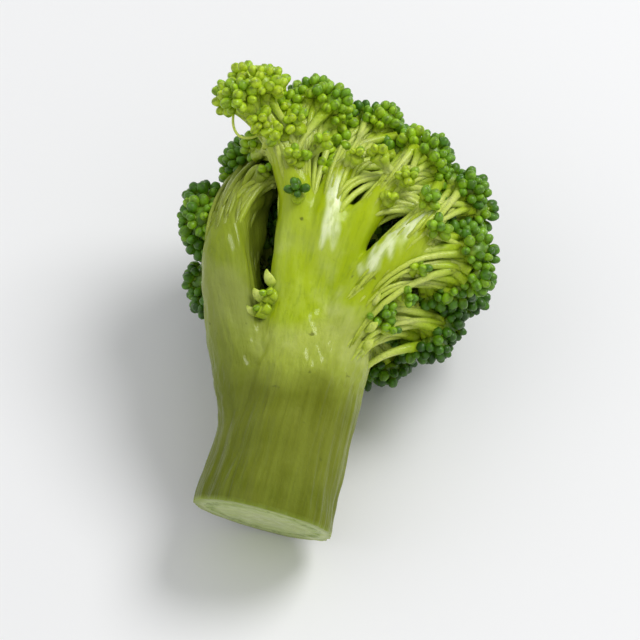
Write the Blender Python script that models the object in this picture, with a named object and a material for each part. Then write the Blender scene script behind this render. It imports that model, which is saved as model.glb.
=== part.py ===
"""A broccoli floret, lying on its side as it comes to rest on a table.

It is drawn upright in its own frame: the cut end of the stalk at the bottom, the crown of bud heads
on top, +X to its right, and -Y towards its open front, where the branches show between the heads.
The empty "floret" then lays all the pieces down, with the crown towards +Y and the front upwards.
"""

import math
from collections import namedtuple

import bmesh
import bpy
import numpy as np
from mathutils import Matrix, Vector

MM = 0.001
UP = Vector((0, 0, 1))

# Driving dimensions.
GAP = 0.3 * MM  # left between neighbouring pieces
STALK_LENGTH = 19.5 * MM  # from the cut face to the middle of the fork
STALK_CUT_RADIUS = 8.4 * MM
STALK_WAIST_RADIUS = 7.6 * MM
STALK_OVAL = 1.06  # width over depth of the stalk's section
STALK_RIBS = 5  # soft ribs along the stalk, one under each branch
STALK_RIB_HEIGHT = 0.25 * MM
CROWN_HEIGHT = 36.0 * MM  # from the fork to the top of the crown
CROWN_RADIUS = 20.8 * MM  # from the axis to the crown's outside
HEAD_RADIUS = 6.6 * MM
HEAD_DEPTH = 9.5 * MM  # from the middle of a bud head down to its foot, at most
HEAD_SHARE = 0.68  # the most of the way from a branch's end to a head's middle that the head takes
HEAD_FOOT_RADIUS = 2.6 * MM
HEAD_STANDOFF = 0.35  # the least from a branch's side to a head's middle, as a share of its radius
HEAD_LUMPS = 0.06  # height of the lumps on a bud head, as a share of its radius
BRANCH_RADIUS = 2.5 * MM
BRANCH_REACH = 13.6 * MM  # from the middle of the fork to where a branch divides
BRANCHLET_RADIUS = 1.8 * MM

Head = namedtuple("Head", "across forward up size")
Branch = namedtuple("Branch", "azimuth lean size heads")

# A head's middle is given in shares of the way from the fork to the crown's outside, less a head's
# radius: across to the right, forward to the open front, up along the axis. size is its share of
# HEAD_RADIUS. A branch has its azimuth (0 right, 90 front) and its lean from the axis, in degrees.
BRANCHES = {
    "middle": Branch(100, 9, 1.25, [
        Head(-0.90, 0.58, 1.00, 0.86),
        Head(-0.43, 0.24, 1.04, 0.84),
        Head(0.07, -0.05, 1.02, 0.85),
        Head(0.50, 0.10, 0.94, 0.82),
    ]),
    "right": Branch(4, 41, 1.05, [
        Head(0.86, -0.08, 0.83, 0.92),
        Head(1.04, 0.12, 0.58, 0.92),
        Head(0.86, -0.24, 0.34, 0.88),
    ]),
    "left": Branch(176, 44, 1.10, [
        Head(-0.84, -0.14, 0.80, 0.92),
        Head(-1.04, 0.10, 0.54, 0.92),
        Head(-0.91, -0.28, 0.31, 0.90),
    ]),
    "back_left": Branch(240, 42, 1.00, [
        Head(-0.34, -0.56, 0.89, 0.98),
        Head(-0.90, -0.62, 0.60, 0.94),
        Head(-0.45, -1.00, 0.60, 0.98),
        Head(-0.47, -0.76, 0.27, 0.92),
    ]),
    "back_right": Branch(300, 42, 1.00, [
        Head(0.36, -0.60, 0.84, 0.98),
        Head(0.92, -0.60, 0.58, 0.94),
        Head(0.46, -1.00, 0.57, 0.98),
        Head(0.46, -0.76, 0.25, 0.90),
        Head(0.00, -0.84, 0.43, 0.80),
    ]),
}

REST_FACING = 0.85  # the least that the side it rests on faces the floret's back, as a cosine

FORK = STALK_LENGTH * UP

STEM_COLOUR = (0.36, 0.46, 0.06, 1.0)
BUD_COLOUR = (0.06, 0.16, 0.015, 1.0)


def direction(azimuth, lean):
    """The unit vector that leans from +Z towards an azimuth, where 90 degrees is the front, -Y."""
    a, b = math.radians(azimuth), math.radians(lean)
    return Vector((math.sin(b) * math.cos(a), -math.sin(b) * math.sin(a), math.cos(b)))


def fork_radius():
    """The ball at the stalk's top on which all the branches stand side by side."""
    roots = [(direction(b.azimuth, b.lean), b.size * BRANCH_RADIUS) for b in BRANCHES.values()]
    return max(
        (r + s + GAP) / (2 * math.sin(u.angle(v) / 2))
        for i, (u, r) in enumerate(roots)
        for v, s in roots[i + 1 :]
    )


def material(name, colour, roughness):
    made = bpy.data.materials.new(name)
    made.use_nodes = True
    shader = made.node_tree.nodes["Principled BSDF"]
    shader.inputs["Base Color"].default_value = colour
    shader.inputs["Roughness"].default_value = roughness
    shader.inputs["Metallic"].default_value = 0.0
    return made


def add_object(name, shape, finish, parent):
    """A named object from a bmesh, which it frees."""
    bmesh.ops.recalc_face_normals(shape, faces=shape.faces)
    mesh = bpy.data.meshes.new(name)
    shape.to_mesh(mesh)
    shape.free()
    mesh.materials.append(finish)
    mesh.shade_smooth()
    obj = bpy.data.objects.new(name, mesh)
    obj.parent = parent
    bpy.context.scene.collection.objects.link(obj)
    return obj


def curve_points(start, bend, end, count):
    """Points on the quadratic curve from start to end that is pulled towards bend."""
    return [
        start * (1 - t) ** 2 + bend * 2 * t * (1 - t) + end * t**2
        for t in np.linspace(0, 1, count).tolist()
    ]


def loft(shape, points, radii, sides, section=lambda angle: (1.0, 0.0)):
    """Adds a capped tube along points. section gives a radius factor and an added height by angle."""
    last = len(points) - 1
    tangents = [
        (points[min(i + 1, last)] - points[max(i - 1, 0)]).normalized() for i in range(last + 1)
    ]
    across = tangents[0].orthogonal().normalized()
    rings = []
    for point, radius, tangent in zip(points, radii, tangents):
        across = (across - across.dot(tangent) * tangent).normalized()
        over = tangent.cross(across)
        ring = []
        for k in range(sides):
            angle = math.tau * k / sides
            factor, added = section(angle)
            side = across * math.cos(angle) + over * math.sin(angle)
            ring.append(shape.verts.new(point + side * (radius * factor + added)))
        rings.append(ring)
    for low, high in zip(rings, rings[1:]):
        for k in range(sides):
            shape.faces.new((low[k], low[k - 1], high[k - 1], high[k]))
    shape.faces.new(rings[0])
    shape.faces.new(rings[-1])


def stalk_section(angle):
    """The stalk is a little wider than deep and softly ribbed."""
    oval = 1 + (STALK_OVAL - 1) * math.cos(angle) ** 2
    return oval, STALK_RIB_HEIGHT * math.cos(STALK_RIBS * angle)


def add_stalk(parent, finish):
    """The stalk, from its flat cut end up to the ball where it forks."""
    ball = fork_radius()
    column = [(0.0, STALK_CUT_RADIUS), (0.3, 0.5 * (STALK_CUT_RADIUS + STALK_WAIST_RADIUS))]
    column += [(0.62, STALK_WAIST_RADIUS)]
    points = [share * STALK_LENGTH * UP for share, _ in column]
    radii = [radius for _, radius in column]
    for lean in (105, 90, 75, 60, 45, 30, 15):
        points.append(FORK + ball * math.cos(math.radians(lean)) * UP)
        radii.append((ball - STALK_RIB_HEIGHT) * math.sin(math.radians(lean)) / STALK_OVAL)
    shape = bmesh.new()
    loft(shape, points, radii, 20, stalk_section)
    return add_object("stalk", shape, finish, parent)


def head_centre(branch, head):
    """A bud head's middle, moved out sideways if its branch would run through it."""
    side, rise = CROWN_RADIUS - HEAD_RADIUS, CROWN_HEIGHT - HEAD_RADIUS
    from_fork = Vector((head.across * side, -head.forward * side, head.up * rise))
    way = direction(branch.azimuth, branch.lean)
    sideways = from_fork - from_fork.dot(way) * way
    clear = BRANCH_RADIUS * branch.size + GAP + HEAD_STANDOFF * HEAD_RADIUS * head.size
    if from_fork.dot(way) < BRANCH_REACH and sideways.length < clear:
        from_fork += sideways.normalized() * (clear - sideways.length)
    return FORK + from_fork


def head_depth(branch, head):
    """From a bud head's middle down to its foot."""
    divide = FORK + BRANCH_REACH * direction(branch.azimuth, branch.lean)
    return min(HEAD_DEPTH * head.size, HEAD_SHARE * (head_centre(branch, head) - divide).length)


def branchlet_path(branch, head):
    """From inside its branch to just under its bud head, along a curve that leaves the branch's way."""
    way = direction(branch.azimuth, branch.lean)
    centre = head_centre(branch, head)
    divide = FORK + BRANCH_REACH * way
    outward = (centre - divide).normalized()
    foot = centre - outward * (head_depth(branch, head) + GAP)
    inside = FORK + (fork_radius() + BRANCH_REACH) / 2 * way
    return curve_points(inside, divide, foot, 6)


def branch_path(branch):
    way = direction(branch.azimuth, branch.lean)
    start = FORK + (fork_radius() + GAP) * way
    return [start.lerp(FORK + BRANCH_REACH * way, share) for share in (0, 0.35, 0.7, 1)]


def add_branch(name, branch, parent, finish):
    """A branch with its branchlets, as one forked solid."""
    path = branch_path(branch)
    thick = BRANCH_RADIUS * branch.size
    shape = bmesh.new()
    loft(shape, path, [thick, thick, thick * 0.95, thick * 0.8], 12)
    trunk = add_object(f"branch_{name}", shape, finish, parent)
    for number, head in enumerate(branch.heads, start=1):
        way = branchlet_path(branch, head)
        thin = BRANCHLET_RADIUS * (1 + head.size) / 2
        shape = bmesh.new()
        loft(shape, way, np.linspace(thin, thin * 1.15, len(way)).tolist(), 9)
        prong = add_object(f"branchlet_{name}_{number}", shape, finish, parent)
        prong.hide_render = True
        prong.display_type = "WIRE"
        union = trunk.modifiers.new(prong.name, "BOOLEAN")
        union.operation = "UNION"
        union.solver = "EXACT"
        union.object = prong
    return trunk


def plane_before_stem(centre, path, radius):
    """Planes, as (normal, distance from centre), that keep a bud head off a stem's path."""
    for a, b in zip(path, path[1:]):
        along = b - a
        share = max(0.0, min(1.0, (centre - a).dot(along) / along.length_squared))
        to_stem = a + share * along - centre
        yield to_stem.normalized(), to_stem.length - radius - GAP


def head_planes(name, number):
    """The flat sides that a bud head is pressed to by its neighbours, and keeps off other stems."""
    own = BRANCHES[name].heads[number]
    centre, radius = head_centre(BRANCHES[name], own), own.size * HEAD_RADIUS
    planes = list(plane_before_stem(centre, [Vector(), FORK], fork_radius() + STALK_RIB_HEIGHT))
    for other_name, branch in BRANCHES.items():
        planes += plane_before_stem(centre, branch_path(branch), BRANCH_RADIUS * branch.size)
        for other_number, head in enumerate(branch.heads):
            if (other_name, other_number) == (name, number):
                continue
            apart = head_centre(branch, head) - centre
            other = head.size * HEAD_RADIUS
            share = 0.5 + (radius**2 - other**2) / (2 * apart.length_squared)
            planes.append((apart.normalized(), share * apart.length - GAP / 2))
            stem = BRANCHLET_RADIUS * (1 + head.size) / 2 * 1.15
            planes += plane_before_stem(centre, branchlet_path(branch, head), stem)
    return planes


def lumps(way, radius):
    """A bud head's own radius in one direction, softly lumped."""
    turn = 2.6
    wave = math.sin(turn * 5 * way.x + 1) * math.sin(turn * 5 * way.y + 2) * math.sin(turn * 5 * way.z)
    return radius * (1 + HEAD_LUMPS * wave)


def add_head(name, number, parent, finish):
    """A bud head: a dome on top, a cone below that ends in a small flat foot."""
    branch = BRANCHES[name]
    head = branch.heads[number]
    centre, radius = head_centre(branch, head), head.size * HEAD_RADIUS
    depth = head_depth(branch, head)
    path = branchlet_path(branch, head)
    axis = (path[-1] - path[-2]).normalized()
    foot = HEAD_FOOT_RADIUS * head.size
    slope = math.hypot(depth, radius - foot)
    planes = head_planes(name, number)
    shape = bmesh.new()
    bmesh.ops.create_icosphere(shape, subdivisions=3, radius=1)
    for vert in shape.verts:
        way = vert.co.normalized()
        rise = way.dot(axis)
        reach = lumps(way, radius)
        outwards = (depth * math.sqrt(max(0.0, 1 - rise**2)) - (radius - foot) * rise) / slope
        if outwards > 0:
            reach = min(reach, depth * radius / slope / outwards)
        if rise < 0:
            reach = min(reach, depth / -rise)
        for normal, distance in planes:
            facing = way.dot(normal)
            if facing > 0:
                reach = min(reach, distance / facing)
        vert.co = centre + reach * way
    return add_object(f"bud_head_{name}_{number + 1}", shape, finish, parent)


def solid_points(obj, graph):
    """The corners of an object's triangles, one row each, in the floret's own frame."""
    mesh = obj.evaluated_get(graph).to_mesh()
    mesh.calc_loop_triangles()
    points = np.array([v.co for v in mesh.vertices], float)
    return points[[list(t.vertices) for t in mesh.loop_triangles]]


def mass_centre(triangles):
    """The centre of the volume that the triangles close."""
    volumes = np.linalg.det(triangles) / 6
    return (triangles.sum(axis=1) / 4 * volumes[:, None]).sum(axis=0) / volumes.sum()


def resting_side(triangles):
    """The outward normal of the hull's side, towards the floret's back, on which it rests firmest."""
    hull = bmesh.new()
    for point in np.unique(triangles.reshape(-1, 3), axis=0):
        hull.verts.new(point)
    bmesh.ops.convex_hull(hull, input=hull.verts)
    hull.normal_update()
    middle = Vector(mass_centre(triangles))
    best = (0.0, Vector((0, 1, 0)))
    for face in hull.faces:
        centre = face.calc_center_median()
        normal = face.normal if face.normal.dot(centre - middle) > 0 else -face.normal
        below = middle + normal * normal.dot(centre - middle)
        margin = min(
            (below - edge.verts[0].co).dot(edge_inward(edge, normal, centre)) for edge in face.edges
        )
        if normal.y > REST_FACING:
            best = max(best, (margin, normal.copy()), key=lambda side: side[0])
    hull.free()
    return best[1]


def edge_inward(edge, normal, centre):
    """The unit vector in a side's plane that points from one of its edges to its centre."""
    a, b = (vert.co for vert in edge.verts)
    inward = normal.cross(b - a).normalized()
    return inward if inward.dot(centre - a) > 0 else -inward


def lay_down(floret, objects):
    """Turns the empty so that the floret rests on its back, centred over the origin."""
    graph = bpy.context.evaluated_depsgraph_get()
    triangles = np.concatenate([solid_points(obj, graph) for obj in objects])
    down = resting_side(triangles)
    along = (UP - UP.dot(down) * down).normalized()
    turn = Matrix((along.cross(-down), along, -down))
    laid = triangles.reshape(-1, 3) @ np.array(turn).T
    low, high = laid.min(axis=0), laid.max(axis=0)
    floret.matrix_world = Matrix.Translation(-Vector((*(low + high)[:2] / 2, low[2]))) @ turn.to_4x4()


def main():
    for obj in list(bpy.data.objects):
        bpy.data.objects.remove(obj)
    stem = material("stem", STEM_COLOUR, 0.4)
    buds = material("buds", BUD_COLOUR, 0.5)
    floret = bpy.data.objects.new("floret", None)
    bpy.context.scene.collection.objects.link(floret)
    pieces = [add_stalk(floret, stem)]
    for name, branch in BRANCHES.items():
        pieces.append(add_branch(name, branch, floret, stem))
        pieces += [add_head(name, number, floret, buds) for number in range(len(branch.heads))]
    bpy.context.view_layer.update()
    lay_down(floret, pieces)


main()
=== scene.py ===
"""Looks for a steamed broccoli floret that lies on its back, its open front upwards.

Everything is drawn upright in the floret's own frame, in millimetres: the cut end of the stalk at
z = 0, the crown above it, +X to the right and -Y towards the open front. LAID then puts it where the
CAD part lies.
"""

import math
from collections import namedtuple

import bpy
import numpy as np
from mathutils import Euler, Matrix, Vector


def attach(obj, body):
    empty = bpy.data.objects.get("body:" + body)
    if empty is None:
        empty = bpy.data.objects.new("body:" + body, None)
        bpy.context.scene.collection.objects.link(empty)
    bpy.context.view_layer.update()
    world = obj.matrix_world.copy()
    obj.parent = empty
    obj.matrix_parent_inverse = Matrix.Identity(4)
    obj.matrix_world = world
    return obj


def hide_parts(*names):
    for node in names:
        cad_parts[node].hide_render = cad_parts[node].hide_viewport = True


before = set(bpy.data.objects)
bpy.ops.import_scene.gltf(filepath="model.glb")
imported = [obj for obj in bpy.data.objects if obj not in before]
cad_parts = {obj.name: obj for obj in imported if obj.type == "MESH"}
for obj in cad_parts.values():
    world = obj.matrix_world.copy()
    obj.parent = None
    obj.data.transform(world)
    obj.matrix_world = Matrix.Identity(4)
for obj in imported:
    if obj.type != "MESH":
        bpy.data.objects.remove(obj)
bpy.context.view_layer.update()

MM = 0.001
RNG = np.random.default_rng(20)

# How the CAD part lies: its frame's turn in degrees and its place in millimetres.
LAID = (
    Matrix.Translation(Vector((0.04, -24.96, 8.04)) * MM)
    @ Euler([math.radians(a) for a in (-71.20, -1.26, -0.43)]).to_matrix().to_4x4()
    @ Matrix.Scale(MM, 4)
)

Head = namedtuple("Head", "limb centre radius lime")

# Bud heads, as in the CAD part: the limb that carries one, its middle and radius, and how lime its
# buds are, from 0 to 1.
HEADS = {
    "middle_1": Head("knob", (-12.8, -8.2, 48.9), 5.7, 0.86),
    "middle_2": Head("knob", (-6.1, -3.8, 50.1), 5.6, 0.54),
    "middle_3": Head("centre", (1.0, 0.2, 49.5), 5.7, 0.42),
    "middle_4": Head("side", (7.1, -1.4, 47.1), 5.4, 0.46),
    "right_1": Head("right", (12.2, 1.1, 43.9), 6.1, 0.36),
    "right_2": Head("right", (14.8, -1.2, 36.6), 6.1, 0.26),
    "right_3": Head("right", (12.2, 3.4, 29.5), 5.8, 0.14),
    "left_1": Head("left", (-11.9, 3.2, 43.0), 6.1, 0.28),
    "left_2": Head("left_inner", (-14.8, 0.6, 35.4), 6.1, 0.30),
    "left_3": Head("left_inner", (-12.9, 4.0, 28.6), 5.9, 0.20),
    "back_left_1": Head("back_left", (-4.8, 8.0, 45.7), 6.5, 0.24),
    "back_left_2": Head("back_left", (-12.8, 8.8, 37.1), 6.2, 0.12),
    "back_left_3": Head("back_left", (-6.4, 14.2, 37.1), 6.5, 0.08),
    "back_left_4": Head("back_left", (-6.7, 10.8, 27.4), 6.1, 0.12),
    "back_right_1": Head("back_right", (5.1, 8.5, 44.2), 6.5, 0.24),
    "back_right_2": Head("back_right", (13.1, 8.5, 36.6), 6.2, 0.12),
    "back_right_3": Head("back_right", (6.5, 14.2, 36.3), 6.5, 0.08),
    "back_right_4": Head("back_right", (6.5, 10.8, 26.9), 5.9, 0.12),
    "back_right_5": Head("back_right", (0.0, 11.9, 32.1), 5.3, 0.08),
}

Limb = namedtuple("Limb", "path radii")

# The limbs: each leaves the inside of the stalk, or of a thicker limb, and ends where it divides
# into the branchlets of its bud heads.
LIMBS = {
    "trunk": Limb([(-0.8, -1.6, 12), (-1.2, -2.8, 20), (-1.8, -3.6, 26), (-2.2, -3.8, 32)], (5.4, 3.2)),
    "knob": Limb(
        [(-2.4, -3.4, 25), (-4.2, -4.8, 32), (-5.3, -5.6, 38.5), (-8.2, -6.4, 44), (-10.8, -7.4, 46.8)],
        (3.1, 1.9),
    ),
    "centre": Limb(
        [(-0.6, -3.2, 26), (-0.7, -4.9, 33), (-0.9, -5.3, 38), (-1.3, -4.9, 42), (-1.2, -3.8, 46)],
        (3.1, 1.6),
    ),
    "side": Limb(
        [(0.2, -3.4, 28), (1.6, -4.5, 34), (3.0, -5.0, 38), (4.8, -4.8, 42), (6.0, -4.0, 45.6)], (2.8, 1.5)
    ),
    "right": Limb(
        [(1.8, -1.2, 14), (3.6, -2.9, 23), (5.4, -4.2, 29.5), (8.6, -5.1, 36), (11.6, -4.6, 42)], (4.2, 2.0)
    ),
    "left": Limb(
        [(-2.6, -0.8, 8), (-8.4, -3.0, 20), (-11.8, -4.6, 29), (-12.8, -4.4, 35), (-12.0, -3.4, 39.4)],
        (4.3, 2.0),
    ),
    "left_inner": Limb(
        [(-2.4, -0.4, 9), (-7.0, -1.2, 20), (-10.2, -1.4, 28), (-11.0, -0.6, 35), (-10.6, 1.2, 40)],
        (3.4, 1.7),
    ),
    "back_left": Limb([(-1.2, 1.8, 11), (-2.4, 3.6, 20), (-3.8, 5.6, 26), (-5.6, 8.4, 33)], (4.6, 2.4)),
    "back_right": Limb([(1.2, 1.8, 11), (2.4, 3.6, 20), (3.8, 5.6, 26), (5.6, 8.4, 33)], (4.6, 2.4)),
}

# Small tufts of buds off the heads: middle, the way they face, radius, limb that bears them, and lime.
TUFTS = [
    ((-7.3, -8.9, 47.6), (-0.1, -1.0, 0.4), 1.8, "knob", 0.80),
    ((-11.6, -9.6, 46.6), (-0.3, -1.0, 0.0), 1.7, "knob", 0.90),
    ((10.6, -6.9, 42.2), (0.4, -1.0, 0.2), 1.6, "right", 0.60),
    ((12.6, -6.0, 39.2), (0.7, -0.8, 0.1), 1.7, "right", 0.45),
    ((-5.6, -7.0, 26.2), (-0.4, -1.0, 0.1), 0.95, "trunk", 0.75),
    ((-6.3, -6.2, 24.4), (-0.6, -1.0, -0.1), 0.9, "trunk", 0.65),
    ((7.2, -5.6, 26.6), (0.6, -1.0, 0.0), 1.0, "right", 0.55),
    ((-9.2, -9.0, 45.6), (-0.4, -1.0, 0.3), 1.9, "knob", 0.85),
    ((-6.2, -8.6, 43.6), (0.3, -1.0, 0.2), 1.7, "knob", 0.75),
    ((-4.9, -9.0, 39.2), (0.1, -1.0, 0.3), 1.6, "knob", 0.20),
    ((-3.9, -7.8, 46.2), (-0.2, -1.0, 0.5), 1.5, "knob", 0.85),
    ((7.4, -6.4, 44.4), (0.2, -1.0, 0.5), 1.5, "side", 0.80),
    ((3.2, -7.0, 46.6), (-0.2, -1.0, 0.5), 1.4, "side", 0.85),
    ((8.3, -4.0, 27.6), (0.7, -0.9, 0.1), 1.9, "right", 0.35),
    ((-8.2, 3.6, 37.0), (0.1, -1.0, 0.1), 2.9, "back_left", 0.10),
    ((-3.6, 4.4, 39.6), (0.0, -1.0, 0.1), 3.0, "back_left", 0.12),
    ((2.6, 3.4, 39.4), (0.0, -1.0, 0.1), 3.0, "back_right", 0.12),
    ((3.6, 2.4, 34.6), (0.0, -1.0, 0.0), 2.7, "back_right", 0.12),
    ((4.6, 0.6, 38.4), (0.1, -1.0, 0.2), 2.2, "side", 0.30),
    ((7.4, 4.2, 37.6), (0.0, -1.0, 0.0), 3.0, "back_right", 0.10),
    ((0.0, 5.4, 34.6), (0.0, -1.0, 0.0), 2.8, "back_right", 0.08),
    ((-6.0, 5.0, 32.6), (0.0, -1.0, 0.0), 2.8, "back_left", 0.08),
    ((6.6, 5.0, 31.6), (0.1, -1.0, 0.0), 2.8, "back_right", 0.10),
    ((-8.2, 2.4, 42.0), (0.0, -1.0, 0.2), 2.6, "back_left", 0.14),
    ((8.6, 2.6, 42.0), (0.0, -1.0, 0.2), 2.6, "back_right", 0.14),
    ((0.4, -7.0, 45.8), (0.0, -1.0, 0.5), 1.2, "centre", 0.90),
    ((5.9, -6.9, 41.4), (0.2, -1.0, 0.3), 1.1, "side", 0.80),
    ((11.6, -5.4, 34.0), (0.7, -0.8, 0.0), 1.4, "right", 0.50),
    ((10.8, -4.2, 30.4), (0.7, -0.8, -0.1), 1.4, "right", 0.45),
    ((9.8, -3.4, 26.2), (0.7, -0.8, -0.2), 1.3, "right", 0.35),
    ((-10.2, -5.6, 41.6), (-0.1, -1.0, 0.3), 1.2, "left", 0.55),
    ((-3.2, -4.4, 44.0), (0.0, -1.0, 0.3), 1.7, "centre", 0.70),
    ((-2.4, -3.6, 47.4), (0.0, -1.0, 0.4), 2.0, "centre", 0.60),
    ((-2.6, -2.2, 41.0), (0.0, -1.0, 0.3), 2.2, "centre", 0.35),
]

BRANCHES = ("middle", "right", "left", "back_left", "back_right")  # the CAD part's branches

# The stalk's radius at heights above its cut face.
STALK = [
    (0.0, 8.3), (3.0, 8.1), (8.0, 7.7), (13.0, 7.5), (17.5, 7.6), (21.5, 7.5), (25.0, 6.7), (28.0, 4.8),
    (30.0, 2.5),
]
STALK_OVAL = 1.06
LIME_HEIGHT = 77.0  # the height in mm that would make rise 1 on the stalk
CROWN_ROOT = np.array([0.0, -6.0, 30.0])  # bud heads turn away from this point
BRANCHLET_RADIUS = 1.8
TWIG_RADIUS = 0.60
LUMPS_AROUND = 6
TWIGS_PER_SHEAF = 7
ARCH_TWIGS = 20
LUMP_SHARE = 0.5  # a lump's radius as a share of its bud head's
BUD_SIZE = 1.30
BUD_PITCH = 0.87  # the distance between two buds as a share of their size
BUD_KINDS = ((0.10, 0.14), (0.16, 0.08), (0.07, 0.22))  # how deep its seams are, how long its point
LOWEST_BUD = 112  # the degrees from a lump's axis past which it bears no buds
TURN_BACK = 0.55  # the least cosine between a limb's way and the way to a lump its twigs serve
NEIGHBOUR_GAP = 13.5  # heads further apart than this aren't neighbours
LIMB_STEPS = 13
SKIN_VOXEL = 0.25
SKIN_SOFTEN = 6  # rounds that smooth the whole skin
SKIN_WEB = 45  # rounds that web the forks of its lower part
CAMERA_AZIMUTH, CAMERA_ELEVATION, CAMERA_DISTANCE = 15.5, 58, 0.48
CAMERA_TARGET = Vector((0.000, 0.001, 0.014))
LENS, SENSOR = 145, 24
LIGHT_TARGET, LIGHT_DISTANCE = Vector((0, 0, 0.015)), 0.9
TABLE_HALF = 1.5
WORLD_COLOUR, WORLD_STRENGTH = (0.96, 0.97, 0.99, 1), 0.58


def unit(v):
    v = np.asarray(v, float)
    return v / np.linalg.norm(v, axis=-1, keepdims=True)


def smoothstep(low, high, x):
    t = np.clip((x - low) / (high - low), 0, 1)
    return t * t * (3 - 2 * t)


def waves(points, scale, seed, count=9):
    """Smooth noise of about -1 to 1: a sum of sine waves in random directions."""
    own = np.random.default_rng(seed)
    ways = unit(own.normal(size=(count, 3))) * own.uniform(0.6, 1.5, (count, 1)) / scale
    return np.sin(points @ ways.T * math.tau + own.uniform(0, math.tau, count)).sum(1) / count**0.5


def spline(start, bend, end, count):
    t = np.linspace(0, 1, count)[:, None]
    return np.asarray(start) * (1 - t) ** 2 + np.asarray(bend) * 2 * t * (1 - t) + np.asarray(end) * t**2


class Shape:
    """Vertices and faces gathered from many small parts, with a number or vector at each vertex."""

    def __init__(self, **kinds):
        self.verts, self.faces, self.count = [], [], 0
        self.values = {name: [] for name in kinds}
        self.kinds = kinds

    def add(self, verts, faces, **values):
        self.verts.append(verts)
        self.faces.append(np.asarray(faces) + self.count)
        self.count += len(verts)
        for name, size in self.kinds.items():
            value = np.asarray(values[name], float)
            shape = (len(verts),) if size == 1 else (len(verts), size)
            self.values[name].append(np.broadcast_to(value, shape))

    def mesh(self, name):
        made = bpy.data.meshes.new(name)
        faces = [tuple(f) for block in self.faces for f in block.tolist()]
        made.from_pydata(np.concatenate(self.verts).tolist(), [], faces)
        for key, size in self.kinds.items():
            put(made, key, np.concatenate(self.values[key]), size)
        return made


def put(mesh, key, values, size=1):
    """Stores a number or a vector at each vertex."""
    kind = "FLOAT" if size == 1 else "FLOAT_VECTOR"
    made = mesh.attributes.new(key, kind, "POINT")
    made.data.foreach_set("value" if size == 1 else "vector", values.astype(np.float32).ravel())


def tube(path, radii, sides, squash=1.0):
    """A closed tube along a path: its vertices, its faces, and each vertex's share of the way."""
    path, radii = np.asarray(path, float), np.asarray(radii, float)
    tangents = unit(np.gradient(path, axis=0))
    across = unit(np.cross(tangents[0], [0.31, 0.95, 0.12]))
    angles = np.linspace(0, math.tau, sides, endpoint=False)
    rings = []
    for point, radius, tangent in zip(path, radii, tangents):
        across = unit(across - across @ tangent * tangent)
        over = np.cross(tangent, across)
        ring = np.outer(np.cos(angles), across) + squash * np.outer(np.sin(angles), over)
        rings.append(point + radius * ring)
    verts = np.concatenate([*rings, path[:1], path[-1:]])
    faces, last = [], len(path) - 1
    for i in range(last):
        for k in range(sides):
            a, b = i * sides + k, i * sides + (k + 1) % sides
            faces += [(a, b, b + sides), (a, b + sides, a + sides)]
    for k in range(sides):
        after = (k + 1) % sides
        faces.append((len(verts) - 2, after, k))
        faces.append((len(verts) - 1, last * sides + k, last * sides + after))
    share = np.append(np.repeat(np.linspace(0, 1, last + 1), sides), [0, 1])
    return verts, faces, share


# ---- The crown's plan: lumps on each bud head, and the stems that lead to them.

Lump = namedtuple("Lump", "head centre axis radius lime limb")
# A stem's rise is the pair of its values at both ends: 0 at the cut face, 1 at the buds.
# Besides its rise, a stem says how much painted shade, dark yellow-green, its skin gets.
Stem = namedtuple("Stem", "path radii rise olive squash", defaults=(1.0,))


def head_axis(head):
    centre, divide = np.array(head.centre), np.array(LIMBS[head.limb].path[-1])
    back = [0, 0.45, 0.15] if head.limb in ("centre", "side", "right") else [0, 0, 0]
    return unit(unit(centre - CROWN_ROOT) + 0.7 * unit(centre - divide) + back)


def around(axis, lean, turn):
    """A direction that leans from an axis by an angle, at a turn about it."""
    side = unit(np.cross(axis, [0.2, -0.9, 0.4]))
    over = np.cross(axis, side)
    return math.cos(lean) * axis + math.sin(lean) * (math.cos(turn) * side + math.sin(turn) * over)


def plan_lumps():
    lumps = []
    for name, head in HEADS.items():
        axis, start = head_axis(head), RNG.uniform(0, math.tau)
        ways = [around(axis, RNG.uniform(0, 0.15), start)]
        for k in range(LUMPS_AROUND):
            turn = start + math.tau * (k + RNG.uniform(-0.2, 0.2)) / LUMPS_AROUND
            ways.append(around(axis, math.radians(RNG.uniform(48, 66)), turn))
        for way in ways:
            radius = head.radius * LUMP_SHARE * RNG.uniform(0.84, 1.14)
            centre = np.array(head.centre) + way * (head.radius * RNG.uniform(0.95, 1.04) - radius)
            lime = head.lime + RNG.normal(0, 0.06)
            lumps.append(Lump(name, centre, unit(way + 0.35 * axis), radius, lime, None))
    lumps += plan_fillers()
    for place, way, radius, limb, lime in TUFTS:
        name = min(HEADS, key=lambda name: math.dist(HEADS[name].centre, place))
        lumps.append(Lump(name, np.array(place), unit(way), radius, lime, limb))
    return lumps


def plan_fillers():
    """Lumps in the furrows between neighbouring bud heads, which make one crown of them."""
    fillers, names = [], list(HEADS)
    for i, name in enumerate(names):
        for other in names[i + 1 :]:
            a, b = HEADS[name], HEADS[other]
            gap = np.linalg.norm(np.subtract(a.centre, b.centre))
            if gap > NEIGHBOUR_GAP or {name, other} == {"middle_2", "middle_3"}:
                continue
            way = unit(head_axis(a) + head_axis(b))
            middle = np.add(a.centre, b.centre) / 2 + way * (1.4 - 0.16 * gap + RNG.uniform(-0.5, 0.5))
            lime = (a.lime + b.lime) / 2 + RNG.normal(0, 0.06)
            fillers.append(Lump(name, middle, way, RNG.uniform(2.3, 2.9), lime, None))
    return fillers


def curve(points, count):
    """A smooth path (Catmull-Rom) through points."""
    p = np.asarray(points, float)
    p = np.vstack([2 * p[0] - p[1], p, 2 * p[-1] - p[-2]])
    t = np.linspace(0, len(p) - 3 - 1e-9, count)
    k, u = t.astype(int), (t - t.astype(int))[:, None]
    a, b, c, d = p[k], p[k + 1], p[k + 2], p[k + 3]
    return b + 0.5 * u * (c - a + u * (2 * a - 5 * b + 4 * c - d + u * (3 * (b - c) + d - a)))


def nearest(path, place):
    return int(np.argmin(np.linalg.norm(path - place, axis=1)))


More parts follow.
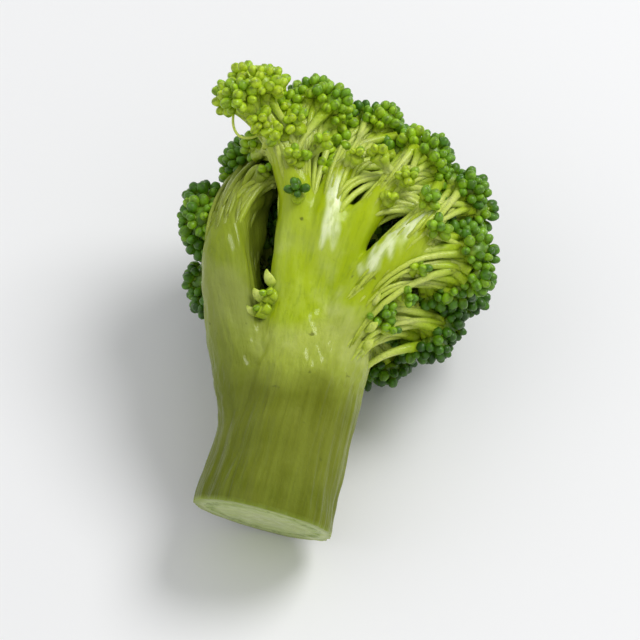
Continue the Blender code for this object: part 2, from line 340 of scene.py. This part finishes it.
def plan_stems(lumps):
    """The thick stems, which become one skin, and the twigs that fan out from them to the lumps."""
    thick, twigs = [], []
    heights = np.array([z for z, _ in STALK])
    path = np.stack([0 * heights, 0 * heights, heights], 1)
    thick.append(Stem(path, [r for _, r in STALK], (0.0, heights[-1] / LIME_HEIGHT), 0.0))
    for name, limb in LIMBS.items():
        limb_path = curve(limb.path, LIMB_STEPS)
        # The left limbs get painted shade.
        olive = 1.0 if name.startswith("left") else 0.0
        rise = (limb_path[0][2] / LIME_HEIGHT, 0.60)
        taper = 1 - 0.35 * smoothstep(0.8, 1.0, np.linspace(0, 1, LIMB_STEPS))
        girths = np.linspace(*limb.radii, LIMB_STEPS) * taper
        thick.append(Stem(limb_path, girths, rise, olive))
        if name == "left":
            twigs += arch(limb_path, girths)
        for lump in (one for one in lumps if one.limb == name):
            foot = limb_path[max(nearest(limb_path, lump.centre) - 1, 0)]
            twigs += fan(lump, np.repeat(foot[None], 9, 0), olive)
        for key, head in HEADS.items():
            if head.limb != name:
                continue
            axis, centre = head_axis(head), np.array(head.centre)
            hub = centre - axis * head.radius * 0.9
            start = limb_path[max(nearest(limb_path, hub) - 2, 4)]
            way = spline(start, 0.4 * start + 0.6 * hub - 0.5 * axis, centre - axis * head.radius * 0.6, 9)
            girth = BRANCHLET_RADIUS * head.radius / 6
            thick.append(Stem(way, np.linspace(girth * 1.2, girth * 0.8, 9), (0.52, 0.80), olive))
            for lump in (one for one in lumps if one.head == key and one.limb is None):
                twigs += fan(lump, way, olive)
                if not name.startswith("back") and lump.centre[1] < centre[1] + 1.5:
                    twigs += sheaf(lump, limb_path, girths, olive)
    return thick, twigs + bracts()


def fan(lump, way, olive):
    """The twigs that carry one lump, from along its branchlet to its underside."""
    twigs = []
    count = 5 if lump.radius > 2.2 else 3
    for k in range(count):
        start = way[RNG.integers(2, 9)] + RNG.normal(0, 0.35, 3)
        side = around(lump.axis, 1.7, math.tau * k / count + RNG.uniform(-0.4, 0.4))
        end = lump.centre + side * lump.radius * RNG.uniform(0.25, 0.5) - lump.axis * lump.radius * 0.2
        bend = 0.45 * start + 0.55 * (lump.centre - lump.axis * lump.radius * 1.2)
        radii = TWIG_RADIUS * RNG.uniform(0.85, 1.15) * np.array([1.5, 1.1, 0.9, 0.85, 0.9, 1.1, 1.4])
        twigs.append(Stem(spline(start, bend, end, 7), radii, (0.70, 1.0), olive))
    return twigs


def sheaf(lump, limb_path, girths, olive):
    """Long twigs that rise out of a limb below a lump and run along it to the lump."""
    twigs = []
    reach, along = lump.centre - limb_path[:-2], np.gradient(limb_path, axis=0)[:-2]
    ahead = (reach * along).sum(1) / np.linalg.norm(reach, axis=1) / np.linalg.norm(along, axis=1)
    last = max(np.flatnonzero(ahead > TURN_BACK), default=4)  # beyond here a twig would have to turn back
    for _ in range(TWIGS_PER_SHEAF):
        k = RNG.integers(min(max(3, last - 4), last), last + 1)
        along = unit(limb_path[k + 1] - limb_path[k])
        side = unit(np.cross(along, RNG.normal(size=3)) + [0, -0.7, 0])
        girth = RNG.uniform(0.28, 0.46)
        start = limb_path[k] + side * (girths[k] - girth)
        end = lump.centre - lump.axis * lump.radius * 0.3 + RNG.normal(0, 0.25 * lump.radius, 3)
        bend = start + along * 0.5 * np.linalg.norm(end - start)
        radii = girth * np.array([0.2, 0.6, 0.9, 1.0, 0.95, 1.0, 1.15, 1.4, 1.8])
        twigs.append(Stem(spline(start, bend, end, 9), radii, (0.60, 1.0), olive))
    return twigs


def arch(limb_path, girths):
    """The twigs that fray from the top of the left limb and lean over towards the knob."""
    twigs = []
    for _ in range(ARCH_TWIGS):
        k = RNG.integers(6, len(limb_path) - 1)
        side = unit(RNG.normal(size=3) + [0.3, -0.8, 0])
        girth = RNG.uniform(0.34, 0.56)
        start = limb_path[k] + side * (girths[k] - girth)
        end = np.array([-8.0, -3.2, 41.4]) + RNG.normal(size=3) * [1.3, 0.9, 0.6]
        bend = np.array([-11.6, -4.2, 42.4]) + RNG.normal(size=3) * [0.5, 0.7, 0.7]
        radii = girth * np.array([0.2, 0.7, 0.95, 1.0, 1.0, 0.95, 0.9, 0.8, 0.7])
        # These twigs get half of the left limb's painted shade.
        twigs.append(Stem(spline(start, bend, end, 9), radii, (0.55, 0.85), 0.5))
    return twigs


def bracts():
    """Small pointed bracts beside the fork, and the loose fibre that hangs in a loop by the knob."""
    found = []
    feet = [
        ((-5.2, -6.4, 27.4), (-1.2, -1.0, 1.6)), ((-6.0, -6.0, 25.4), (-1.4, -0.8, 1.1)),
        ((-6.6, -5.4, 23.4), (-1.3, -0.8, 0.9)), ((6.6, -5.6, 28.0), (1.2, -1.0, 1.5)),
        ((6.9, -5.0, 25.0), (1.4, -0.8, 1.0)), ((7.2, -4.4, 22.8), (1.0, -1.0, 1.1)),
    ]
    for foot, reach in feet:
        foot, reach = np.array(foot), np.array(reach)
        path = spline(foot, foot + 0.7 * reach * [1.2, 1.2, 0.6], foot + reach, 7)
        radii = np.array([0.5, 0.62, 0.66, 0.6, 0.45, 0.28, 0.08])
        found.append(Stem(path, radii, (0.72, 0.95), olive=0.0, squash=0.45))
    loop = [
        (-13.6, -8.6, 50.4), (-15.1, -9.0, 48.0), (-14.9, -9.2, 45.6), (-13.8, -9.1, 44.2),
        (-12.4, -8.6, 44.4), (-11.2, -7.8, 45.6),
    ]
    found.append(Stem(curve(loop, 28), np.full(28, 0.17), (0.80, 0.80), 0.0))
    return found


# ---- Stalk, branches and branchlets: one grown skin.


def fields(points, stems):
    """At each point, from the stems round it: the rise along them, and how much painted shade they give it.
    """
    starts, ends, radii, rises, painted_shades = [], [], [], [], []
    for stem in stems:
        path, steps = np.asarray(stem.path), len(stem.path) - 1
        starts.append(path[:-1])
        ends.append(path[1:])
        radii.append((np.asarray(stem.radii)[:-1] + np.asarray(stem.radii)[1:]) / 2)
        edge = np.linspace(*stem.rise, steps + 1)
        rises.append(np.stack([edge[:-1], edge[1:]], 1))
        painted_shades.append(np.full(steps, stem.olive))
    starts, ends, rises = map(np.concatenate, (starts, ends, rises))
    radii, painted_shades = np.concatenate(radii), np.concatenate(painted_shades)
    along = ends - starts
    square = (along**2).sum(1)
    found = []
    for block in np.array_split(points, max(1, len(points) // 4000)):
        off = block[:, None] - starts[None]
        share = np.clip((off * along).sum(2) / square, 0, 1)
        gap = np.linalg.norm(off - share[..., None] * along, axis=2) - radii
        weight = np.exp(-(gap - gap.min(1, keepdims=True)) / 0.8)
        weight /= weight.sum(1, keepdims=True)
        rise = rises[:, 0] + share * (rises[:, 1] - rises[:, 0])
        found.append(((weight * rise).sum(1), weight @ painted_shades))
    return (np.concatenate(part) for part in zip(*found))


def grain_at(points):
    """Points drawn together along the way the stems grow, so that noise here runs in long fibres."""
    spread = 1 + np.maximum(points[:, 2] - 17, 0) / 17
    return np.stack([points[:, 0] / spread, points[:, 1] / spread, points[:, 2] * 0.07], 1)


def skin_mesh(stems):
    """The union of the stems' tubes, remeshed. The first stem is the stalk, which is oval."""
    rough = Shape()
    for k, stem in enumerate(stems):
        verts, faces, _ = tube(stem.path, stem.radii, 40 if k == 0 else 14)
        rough.add(verts * [STALK_OVAL, 1, 1] if k == 0 else verts, faces)
    holder = bpy.data.objects.new("rough", rough.mesh("rough"))
    bpy.context.scene.collection.objects.link(holder)
    remesh = holder.modifiers.new("remesh", "REMESH")
    remesh.mode, remesh.voxel_size, remesh.adaptivity = "VOXEL", SKIN_VOXEL, 0.0
    graph = bpy.context.evaluated_depsgraph_get()
    made = bpy.data.meshes.new_from_object(holder.evaluated_get(graph))
    bpy.data.objects.remove(holder)
    return made


def relax(mesh, points, weights, rounds):
    """Moves each vertex towards the middle of its neighbours, which webs the forks."""
    edges = np.zeros(len(mesh.edges) * 2, np.int32)
    mesh.edges.foreach_get("vertices", edges)
    a, b = edges.reshape(-1, 2).T
    size = len(points)
    count = np.bincount(a, minlength=size) + np.bincount(b, minlength=size)
    for _ in range(rounds):
        for axis in range(3):
            line = points[:, axis]
            total = np.bincount(a, line[b], size) + np.bincount(b, line[a], size)
            points[:, axis] = line + weights * (total / count - line)
    return points


def read(source, key):
    """A vector for each item of a mesh's vertices or vertex normals."""
    values = np.zeros(len(source) * 3, np.float32)
    source.foreach_get(key, values)
    return values.reshape(-1, 3).astype(float)


def normals_at(mesh, points):
    mesh.vertices.foreach_set("co", points.astype(np.float32).ravel())
    mesh.update()
    return read(mesh.vertex_normals, "vector")


# Painted highlights: pale streaks along two limbs, where light glints on the moist skin. The ends of the
# middle line of each, and how wide it spreads.
HIGHLIGHT_STREAKS = [((0.0, -7.9, 34.5), (-0.7, -7.2, 42.0), 0.9), ((5.6, -7.6, 32.0), (10.2, -6.6, 40.5), 0.9)]


def streak_at(points):
    """How much painted highlight there is at each point, from 0 to 1."""
    found = np.zeros(len(points))
    for start, end, width in HIGHLIGHT_STREAKS:
        start, along = np.array(start), np.subtract(end, start)
        share = np.clip((points - start) @ along / (along @ along), 0, 1)
        gap = np.linalg.norm(points - start - share[:, None] * along, axis=1)
        gap += 0.45 * waves(points * [1, 1, 0.3], 1.1, 11)
        found = np.maximum(found, 1 - smoothstep(0, 1.9 * width, gap))
    return found


def stem_skin(stems):
    """Gives the skin its webs, ribs, fibres and dents, its flat cut face, and what colours it."""
    mesh = skin_mesh(stems)
    points = read(mesh.vertices, "co")
    rise, olive = fields(points, stems)
    body = 1 - smoothstep(0.50, 0.72, rise)
    edge = smoothstep(0.5, 3.0, points[:, 2])
    points = relax(mesh, points, np.full(len(points), 0.5), SKIN_SOFTEN)
    points = relax(mesh, points, 0.6 * body * edge, SKIN_WEB)
    grain = grain_at(points)
    ribs = 0.12 * waves(grain, 5.5, 1) * body + 0.08 * waves(grain, 2.8, 7) + 0.06 * waves(grain, 1.3, 2)
    fibres = 0.045 * waves(grain, 0.75, 8) + 0.018 * waves(grain, 0.45, 3)
    dents = 0.14 * waves(points, 9.0, 4) * body + 0.02 * waves(points, 3.0, 6)
    points += normals_at(mesh, points) * (ribs + fibres + dents)[:, None]
    flat = points[:, 2] < 0.45
    across = np.linalg.norm(points[:, :2] / [STALK_OVAL, 1], axis=1) / STALK[0][1]
    points[flat, 2] = 0.06 * waves(points[flat], 2.2, 5) * smoothstep(0.98, 0.8, across[flat])
    points[:, 2] = np.maximum(points[:, 2], -0.1)
    mesh.vertices.foreach_set("co", points.astype(np.float32).ravel())
    put(mesh, "grain", grain, 3)
    put(mesh, "rise", rise)
    # How much painted shade and painted highlight each point gets.
    put(mesh, "olive", olive)
    put(mesh, "streak", streak_at(points))
    put(mesh, "cut", 1 - smoothstep(0.05, 0.35, points[:, 2]))
    put(mesh, "across", across)
    return mesh


def twig_mesh(twigs):
    shape = Shape(grain=3, rise=1, olive=1, cut=1, across=1, streak=1)
    for twig in twigs:
        verts, faces, share = tube(twig.path, twig.radii, 8, twig.squash)
        rise = twig.rise[0] + share * (twig.rise[1] - twig.rise[0])
        # Twigs take their stem's painted shade and no painted highlight.
        shape.add(verts, faces, grain=verts, rise=rise, olive=twig.olive, cut=0, across=1, streak=0)
    return shape.mesh("twigs")


# ---- Buds.


def bud_template(groove, point, sides=10, rings=7):
    """A closed bud of diameter 1 that points along +Z, with four seams that meet at its tip."""
    verts, tips, seams = [(0, 0, -0.58)], [0.0], [0.0]
    for i in range(1, rings):
        t = i / rings
        lean = math.pi * t
        height = -0.58 * math.cos(lean) + point * t**3
        for k in range(sides):
            angle = math.tau * k / sides
            seam = max(0.0, math.cos(2 * angle)) ** 4 * smoothstep(0.3, 0.9, t)
            radius = 0.5 * math.sin(lean) ** 0.85 * (1 - groove * seam)
            verts.append((radius * math.cos(angle), radius * math.sin(angle), height - 0.04 * seam))
            tips.append(t)
            seams.append(seam)
    verts.append((0, 0, 0.53 + point))
    tips.append(1.0)
    # The tip, where the seams meet, gets some of their painted shade.
    seams.append(0.6)
    faces = []
    for k in range(sides):
        after = (k + 1) % sides
        faces.append((0, 1 + after, 1 + k))
        top = 1 + (rings - 2) * sides
        faces.append((len(verts) - 1, top + k, top + after))
        for i in range(rings - 2):
            a, b = 1 + i * sides + k, 1 + i * sides + after
            faces += [(a, b, b + sides), (a, b + sides, a + sides)]
    return np.array(verts), np.array(faces), np.array(tips), np.array(seams)


def frame_of(way):
    """Three unit vectors as columns, the last along way."""
    side = unit(np.cross(way, [0.37, 0.21, 0.9]))
    return np.stack([side, np.cross(way, side), way], 1)


def ball(count):
    """Directions spread evenly over a sphere, from +Z down."""
    k = np.arange(count) + 0.5
    height, turn = 1 - 2 * k / count, k * math.pi * (3 - 5**0.5)
    flat = np.sqrt(1 - height**2)
    return np.stack([flat * np.cos(turn), flat * np.sin(turn), height], 1)


Bud = namedtuple("Bud", "lump place way size edge")


def plan_buds(lumps):
    """Buds over all the lumps, none of them inside another lump or too near another bud."""
    centres = np.array([lump.centre for lump in lumps])
    radii = np.array([lump.radius for lump in lumps])
    grid, buds = {}, []
    for index, lump in enumerate(lumps):
        girth = BUD_SIZE * min(1.0, 0.4 + lump.radius / 3)
        pitch = girth * BUD_PITCH
        reach = lump.radius - 0.5 * girth
        count = int(4 * math.pi * reach**2 / (0.80 * pitch**2))
        turned = frame_of(lump.axis)
        for local in ball(count):
            if local[2] < math.cos(math.radians(LOWEST_BUD)):
                break
            way = turned @ unit(local + RNG.normal(0, 0.05, 3))
            place = lump.centre + way * (reach + RNG.normal(0, 0.10))
            inside = np.linalg.norm(centres - place, axis=1) < radii - 0.75 * girth
            inside[index] = False
            cell = tuple(np.floor(place / BUD_SIZE).astype(int))
            steps = [(i, j, k) for i in (-1, 0, 1) for j in (-1, 0, 1) for k in (-1, 0, 1)]
            near = [other for step in steps for other in grid.get(tuple(np.add(cell, step)), ())]
            if inside.any() or any(np.linalg.norm(other - place) < 0.86 * pitch for other in near):
                continue
            grid.setdefault(cell, []).append(place)
            size = girth * RNG.uniform(0.78, 1.14) * (1 - 0.08 * (local[2] > 0.8))
            buds.append(Bud(index, place, unit(way + 0.25 * lump.axis), size, 1 - local[2]))
    return buds


def lump_core(lump):
    """The dark inside of a lump: a cap below its buds and, under it, the fan of their stalks."""
    rings, sides = 14, 26
    inner = lump.radius - 0.9 * BUD_SIZE
    verts, tips = [], []
    for i in range(rings + 1):
        lean = math.pi * i / rings
        shrink = 1 - 0.55 * smoothstep(1.5, 2.9, lean)
        for k in range(sides):
            angle = math.tau * k / sides
            rib = 1 + 0.10 * math.cos(angle * 13) * smoothstep(1.2, 1.8, lean)
            radius = inner * shrink * rib
            flat = radius * math.sin(lean)
            verts.append((flat * math.cos(angle), flat * math.sin(angle), radius * math.cos(lean)))
            tips.append(0.42 * (1 - smoothstep(1.2, 2.0, lean)))
    faces = []
    for i in range(rings):
        for k in range(sides):
            a, b = i * sides + k, i * sides + (k + 1) % sides
            faces += [(b, a, a + sides), (b, a + sides, b + sides)]
    return lump.centre + np.array(verts) @ frame_of(lump.axis).T, faces, tips


def head_mesh(name, lumps, buds):
    """The buds of one head, the cores of its lumps, and the buds' own stalks."""
    shape = Shape(tint=1, tip=1, seam=1)
    templates = [bud_template(groove, point) for groove, point in BUD_KINDS]
    for index, lump in enumerate(lumps):
        if lump.head != name:
            continue
        verts, faces, tips = lump_core(lump)
        shape.add(verts, faces, tint=lump.lime, tip=tips, seam=0.0)
        low = lump.centre - lump.axis * lump.radius * 0.45
        for bud in (one for one in buds if one.lump == index):
            verts, faces, tips, seams = templates[RNG.integers(len(templates))]
            turn = RNG.uniform(0, math.tau)
            cos, sin = math.cos(turn), math.sin(turn)
            spin = np.array([[cos, -sin, 0], [sin, cos, 0], [0, 0, 1]])
            shaped = (verts * [1, 1, RNG.uniform(0.82, 1.05)]) @ spin.T @ frame_of(bud.way).T
            front = -bud.way[1] * 0.5 - bud.way[2] * 0.2
            front = 0.18 * front if front > 0 else 0.55 * front
            tint = lump.lime * (1 + front) + 0.08 * bud.edge + front * 0.2 + RNG.normal(0, 0.10)
            shape.add(bud.place + shaped * bud.size, faces, tint=np.clip(tint, 0, 1), tip=tips, seam=seams)
            foot = bud.place - bud.way * bud.size * 0.35
            path = spline(low, 0.5 * (low + foot) + 0.1 * (foot - lump.centre), foot, 5)
            verts, faces, share = tube(path, np.array([0.22, 0.24, 0.26, 0.3, 0.4]) * bud.size / 1.45, 6)
            shape.add(verts, faces, tint=np.clip(tint + 0.1, 0, 1), tip=0.16 * share, seam=0.0)
    return shape.mesh(f"buds_{name}")


# ---- Materials.

# Colours that are mixed into the stem's, and into its cut face's.
PALE_FIBRE, DEEP_FIBRE = (0.50, 0.62, 0.09, 1), (0.17, 0.26, 0.004, 1)
# The first colour on the next line is the pale band by the fork: partly a frosty colour, partly a painted
# reflection.
FROST_AND_REFLECTION, BRUISE = (0.56, 0.62, 0.20, 1), (0.235, 0.270, 0.030, 1)
# The first colour on the next line is painted shade for the left limbs.
# The last colour on the next line is a painted highlight: the pale glint of light on the skin.
PAINTED_SHADE_OLIVE, SPECK, PAINTED_HIGHLIGHT_COLOUR = (0.150, 0.185, 0.022, 1), (0.10, 0.12, 0.010, 1), (0.82, 0.90, 0.52, 1)
PORE, BUNDLE = (0.33, 0.42, 0.10, 1), (0.20, 0.28, 0.03, 1)


def node(tree, kind, **settings):
    made = tree.nodes.new(kind)
    for key, value in settings.items():
        setattr(made, key, value)
    return made


def principled(name, **sockets):
    made = bpy.data.materials.new(name)
    made.use_nodes = True
    shader = made.node_tree.nodes["Principled BSDF"]
    for key, value in sockets.items():
        shader.inputs[key.replace("_", " ")].default_value = value
    return made, made.node_tree, shader


def value_of(tree, name):
    return node(tree, "ShaderNodeAttribute", attribute_name=name).outputs["Fac"]


def mix(tree, factor, a, b, blend="MIX"):
    made = node(tree, "ShaderNodeMix", data_type="RGBA", blend_type=blend)
    for socket, source in zip((made.inputs[0], made.inputs[6], made.inputs[7]), (factor, a, b)):
        if isinstance(source, bpy.types.NodeSocket):
            tree.links.new(source, socket)
        else:
            socket.default_value = source
    return made.outputs[2]


def ramp(tree, source, stops, smooth=True):
    made = node(tree, "ShaderNodeValToRGB")
    made.color_ramp.interpolation = "EASE" if smooth else "LINEAR"
    points = made.color_ramp.elements
    while len(points) < len(stops):
        points.new(0.5)
    for point, (place, colour) in zip(points, stops):
        point.position = place
        point.color = (*colour, 1) if len(colour) == 3 else colour
    tree.links.new(source, made.inputs[0])
    return made.outputs["Color"]


def texture(tree, scale, detail, coordinate):
    made = node(tree, "ShaderNodeTexNoise")
    made.inputs["Scale"].default_value = scale
    made.inputs["Detail"].default_value = detail
    made.inputs["Roughness"].default_value = 0.55
    tree.links.new(coordinate, made.inputs["Vector"])
    return made.outputs["Fac"]


def calc(tree, operation, a, b):
    made = node(tree, "ShaderNodeMath", operation=operation)
    for socket, source in zip(made.inputs, (a, b)):
        if isinstance(source, bpy.types.NodeSocket):
            tree.links.new(source, socket)
        else:
            socket.default_value = source
    return made.outputs[0]


def grey(v):
    return (v, v, v)


def skin_colour(tree, grain, place, fine):
    """The stem's colour by how far up it grew: a dark base that is painted shade, a pale fork that is
    partly its frosty colour and partly a painted reflection, lime limbs and paler twigs. Over it: painted
    shade on the left limbs and a painted highlight along two limbs.
    """
    rise = value_of(tree, "rise")
    streaks = texture(tree, 0.9, 4, grain)
    blotch = texture(tree, 160, 3, place)
    drift = calc(tree, "MULTIPLY", calc(tree, "SUBTRACT", blotch, 0.5), 0.09)
    colour = ramp(tree, calc(tree, "ADD", rise, drift), [
        # Up to rise 0.17 the darkest colour is painted shade near the cut end; the pale stops at 0.25 and
        # 0.31 are the frosty band, partly a painted reflection.
        (0.00, (0.108, 0.134, 0.000)),
        (0.17, (0.126, 0.150, 0.000)),
        (0.25, (0.340, 0.405, 0.045)),
        (0.31, (0.420, 0.490, 0.075)),
        (0.37, (0.375, 0.490, 0.002)),
        (0.56, (0.410, 0.530, 0.001)),
        (0.72, (0.550, 0.670, 0.085)),
        (0.86, (0.670, 0.770, 0.180)),
        (0.98, (0.400, 0.560, 0.015)),
    ])
    high = ramp(tree, rise, [(0.18, grey(0.25)), (0.40, grey(1.0))])
    fork = ramp(tree, rise, [(0.20, grey(0)), (0.28, grey(1)), (0.36, grey(1)), (0.46, grey(0))])
    low = ramp(tree, rise, [(0.20, grey(1.0)), (0.34, grey(0.25))])
    pale = ramp(tree, streaks, [(0.40, grey(0)), (0.70, grey(0.40))])
    deep = ramp(tree, fine, [(0.30, grey(0.30)), (0.50, grey(0))])
    # Pale patches by the fork: partly frosty colour, partly a painted reflection.
    frost_and_reflection = ramp(tree, texture(tree, 130, 4, place), [(0.46, grey(0)), (0.62, grey(0.55))])
    bruise = ramp(tree, texture(tree, 75, 4, place), [(0.42, grey(0)), (0.66, grey(0.45))])
    for spots, zone, paint in (
        (pale, high, PALE_FIBRE), (deep, high, DEEP_FIBRE), (frost_and_reflection, fork, FROST_AND_REFLECTION), (bruise, low, BRUISE),
    ):
        colour = mix(tree, mix(tree, 1.0, spots, zone, "MULTIPLY"), colour, paint)
    # Painted shade: the left limbs are darkened towards a dull yellow-green.
    shade = calc(tree, "MULTIPLY", value_of(tree, "olive"), 0.62)
    colour = mix(tree, shade, colour, PAINTED_SHADE_OLIVE)
    specks = ramp(tree, texture(tree, 620, 2, place), [(0.70, grey(0)), (0.78, grey(0.75))])
    colour = mix(tree, specks, colour, SPECK)
    # Painted highlight: pale streaks along two limbs, broken up by the fibres.
    highlight_breakup = ramp(tree, fine, [(0.36, grey(0.55)), (0.56, grey(1))])
    highlight_mask = mix(tree, 1.0, highlight_breakup, value_of(tree, "streak"), "MULTIPLY")
    return mix(tree, highlight_mask, colour, PAINTED_HIGHLIGHT_COLOUR)


def pith_colour(tree, place):
    """The cut face's colour from its middle out: pith, a ring of dark bundles, and the skin's rim."""
    across = value_of(tree, "across")
    pith = ramp(tree, across, [
        (0.00, (0.56, 0.62, 0.30)), (0.62, (0.52, 0.60, 0.24)), (0.76, (0.34, 0.44, 0.09)),
        (0.86, (0.48, 0.56, 0.20)), (0.97, (0.26, 0.33, 0.03)),
    ])
    pores = ramp(tree, texture(tree, 900, 3, place), [(0.38, grey(0.40)), (0.62, grey(0))])
    pith = mix(tree, pores, pith, PORE)
    ring = ramp(tree, across, [(0.66, grey(0)), (0.74, grey(1)), (0.82, grey(1)), (0.88, grey(0))])
    bundles = ramp(tree, texture(tree, 1100, 1, place), [(0.50, grey(0)), (0.60, grey(0.8))])
    return mix(tree, mix(tree, 1.0, ring, bundles, "MULTIPLY"), pith, BUNDLE)


def stem_material():
    made, tree, shader = principled(
        "stem", Subsurface_Weight=0.35, Subsurface_Scale=0.0012, Coat_Weight=0.30,
        Coat_Roughness=0.12, Specular_IOR_Level=0.2, Specular_Tint=(0.85, 1.0, 0.35, 1),
    )
    shader.inputs["Subsurface Radius"].default_value = (1.0, 1.0, 0.35)
    grain = node(tree, "ShaderNodeAttribute", attribute_name="grain").outputs["Vector"]
    place = node(tree, "ShaderNodeTexCoord").outputs["Object"]
    fine = texture(tree, 3.2, 3, grain)
    skin = skin_colour(tree, grain, place, fine)
    colour = mix(tree, value_of(tree, "cut"), skin, pith_colour(tree, place))
    tree.links.new(colour, shader.inputs["Base Color"])
    rough = ramp(tree, texture(tree, 420, 3, place), [(0.3, grey(0.34)), (0.7, grey(0.52))])
    tree.links.new(rough, shader.inputs["Roughness"])
    bump = node(tree, "ShaderNodeBump")
    bump.inputs["Strength"].default_value = 0.5
    bump.inputs["Distance"].default_value = 0.0003
    height = calc(tree, "ADD", fine, calc(tree, "MULTIPLY", texture(tree, 1500, 3, place), 0.5))
    tree.links.new(height, bump.inputs["Height"])
    tree.links.new(bump.outputs["Normal"], shader.inputs["Normal"])
    return made


def bud_material():
    made, tree, shader = principled(
        "buds", Subsurface_Weight=0.18, Subsurface_Scale=0.0005, Coat_Weight=0.18,
        Coat_Roughness=0.16, Specular_IOR_Level=0.34,
    )
    shader.inputs["Subsurface Radius"].default_value = (0.8, 1.0, 0.2)
    tint = ramp(tree, value_of(tree, "tint"), [
        (0.00, (0.028, 0.095, 0.003)),
        (0.28, (0.075, 0.210, 0.005)),
        (0.50, (0.200, 0.400, 0.008)),
        (0.75, (0.350, 0.550, 0.010)),
        (1.00, (0.480, 0.640, 0.018)),
    ], smooth=False)
    pale = ramp(tree, value_of(tree, "tint"), [
        (0.0, (0.15, 0.27, 0.010)), (1.0, (0.50, 0.64, 0.04)),
    ], smooth=False)
    colour = mix(tree, ramp(tree, value_of(tree, "tip"), [(0.18, grey(0)), (0.50, grey(1))]), pale, tint)
    # Painted shade: the seams, and the tip where they meet, are darkened.
    seam = calc(tree, "MULTIPLY", value_of(tree, "seam"), 0.55)
    colour = mix(tree, seam, colour, (0.018, 0.050, 0.004, 1))
    place = node(tree, "ShaderNodeTexCoord").outputs["Object"]
    mottle = ramp(tree, texture(tree, 1400, 3, place), [(0.35, grey(0.72)), (0.65, grey(1.18))])
    colour = mix(tree, 1.0, colour, mottle, "MULTIPLY")
    tree.links.new(colour, shader.inputs["Base Color"])
    rough = ramp(tree, texture(tree, 900, 2, place), [(0.35, grey(0.32)), (0.65, grey(0.52))])
    tree.links.new(rough, shader.inputs["Roughness"])
    return made


def floor_material():
    made, tree, shader = principled("table", Roughness=0.55)
    place = node(tree, "ShaderNodeTexCoord").outputs["Object"]
    colour = ramp(tree, texture(tree, 3, 2, place), [(0.3, grey(0.86)), (0.7, grey(0.875))])
    tree.links.new(colour, shader.inputs["Base Color"])
    return made


# ---- Scene.


def place_piece(mesh, name, material, nodes):
    """Lays a mesh down, keeps it above the table, and makes it a piece that stands for CAD nodes."""
    mesh.transform(LAID)
    points = read(mesh.vertices, "co")
    points[:, 2] = np.maximum(points[:, 2], 0)
    mesh.vertices.foreach_set("co", points.astype(np.float32).ravel())
    mesh.materials.clear()
    mesh.materials.append(material)
    mesh.shade_smooth()
    obj = bpy.data.objects.new(name, mesh)
    bpy.context.scene.collection.objects.link(obj)
    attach(obj, "root")
    if nodes:
        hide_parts(*nodes)
    return obj


def way_from(azimuth, elevation):
    """The way from the floret to a place. Azimuth 0 is on the cut stalk's side, 90 on the right."""
    a, e = math.radians(azimuth), math.radians(elevation)
    return Vector((math.sin(a) * math.cos(e), -math.cos(a) * math.cos(e), math.sin(e)))


def add_light(name, azimuth, elevation, size, power):
    """An area light that looks at the floret."""
    way = way_from(azimuth, elevation)
    data = bpy.data.lights.new(name, "AREA")
    data.shape, data.size, data.energy = "DISK", size, power
    lamp = bpy.data.objects.new(name, data)
    lamp.location = LIGHT_TARGET + way * LIGHT_DISTANCE
    lamp.rotation_euler = way.to_track_quat("Z", "Y").to_euler()
    bpy.context.scene.collection.objects.link(lamp)


def add_camera():
    way = way_from(CAMERA_AZIMUTH, CAMERA_ELEVATION)
    data = bpy.data.cameras.new("camera")
    data.lens, data.sensor_width = LENS, SENSOR
    camera = bpy.data.objects.new("camera", data)
    camera.location = CAMERA_TARGET + way * CAMERA_DISTANCE
    camera.rotation_euler = way.to_track_quat("Z", "Y").to_euler()
    bpy.context.scene.collection.objects.link(camera)
    bpy.context.scene.camera = camera


def add_stage():
    half = TABLE_HALF
    corners = [(-half, -half, 0), (half, -half, 0), (half, half, 0), (-half, half, 0)]
    mesh = bpy.data.meshes.new("table")
    mesh.from_pydata(corners, [], [(0, 1, 2, 3)])
    mesh.materials.append(floor_material())
    table = bpy.data.objects.new("table", mesh)
    bpy.context.scene.collection.objects.link(table)
    world = bpy.data.worlds.new("studio")
    world.use_nodes = True
    background = world.node_tree.nodes["Background"]
    background.inputs["Color"].default_value = WORLD_COLOUR
    background.inputs["Strength"].default_value = WORLD_STRENGTH
    bpy.context.scene.world = world
    bpy.context.scene.view_settings.view_transform = "Standard"


def main():
    lumps = plan_lumps()
    thick, twigs = plan_stems(lumps)
    stem, green = stem_material(), bud_material()
    stem_nodes = ["stalk", *(f"branch_{name}" for name in BRANCHES)]
    place_piece(stem_skin(thick), "stalk_and_branches", stem, stem_nodes)
    place_piece(twig_mesh(twigs), "twigs", stem, [])
    buds = plan_buds(lumps)
    for name in HEADS:
        place_piece(head_mesh(name, lumps, buds), f"buds_{name}", green, [f"bud_head_{name}"])
    add_light("key", 138, 52, 0.46, 4.8)
    add_light("fill", -70, 45, 0.8, 0.6)
    add_camera()
    add_stage()


main()
